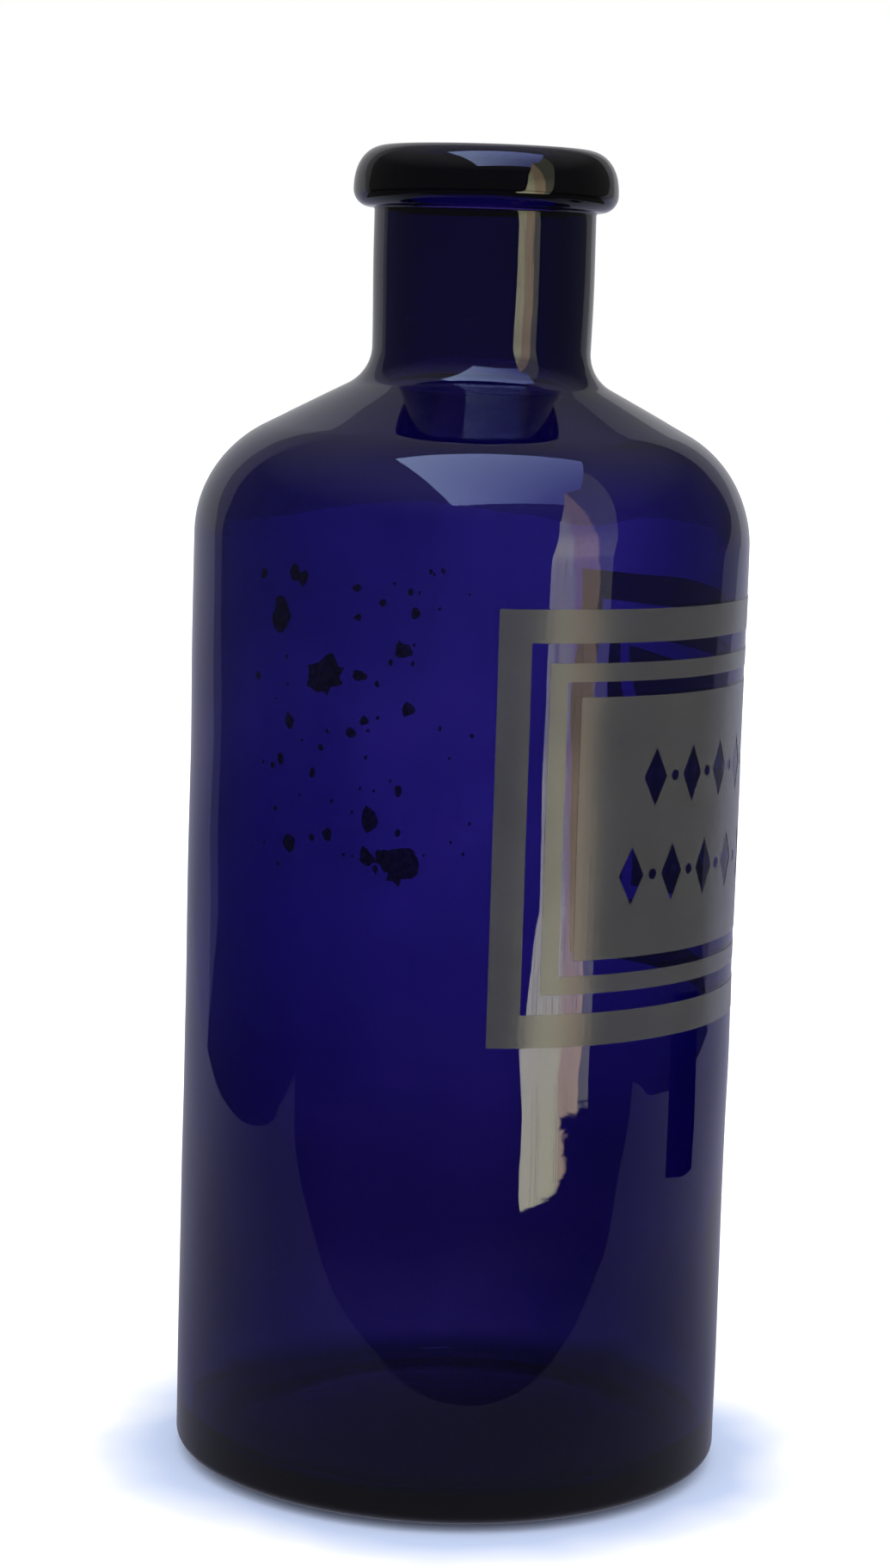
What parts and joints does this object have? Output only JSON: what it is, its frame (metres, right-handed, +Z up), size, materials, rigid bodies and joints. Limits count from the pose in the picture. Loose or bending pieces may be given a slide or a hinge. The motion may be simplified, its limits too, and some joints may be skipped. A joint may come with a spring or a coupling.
{
  "type": "pharmacy bottle",
  "caption": "Wide-mouthed cylindrical pharmacy bottle in cobalt-blue glass, with a rounded shoulder, short neck, applied rolled lip and a frosted, bordered label field etched into its wall.",
  "frame": {"origin": "middle of the ring that the bottle stands on", "axes": "+Z up the bottle's axis, out of the mouth; -Y out of the middle of the label"},
  "size_m": [0.0952, 0.0952, 0.2262],
  "materials": {
    "cobalt_glass": "fire-polished, deep blue, lightly seeded",
    "lip_glass": "tooled and fire-polished, nearly black where it is thick",
    "etched_glass": "acid-etched, matt grey"
  },
  "bodies": {
    "root": {"bottle_body": "cobalt_glass", "lip_collar": "lip_glass", "label_outer_border": "etched_glass", "label_inner_border": "etched_glass", "label_panel": "etched_glass"}
  },
  "joints": []
}
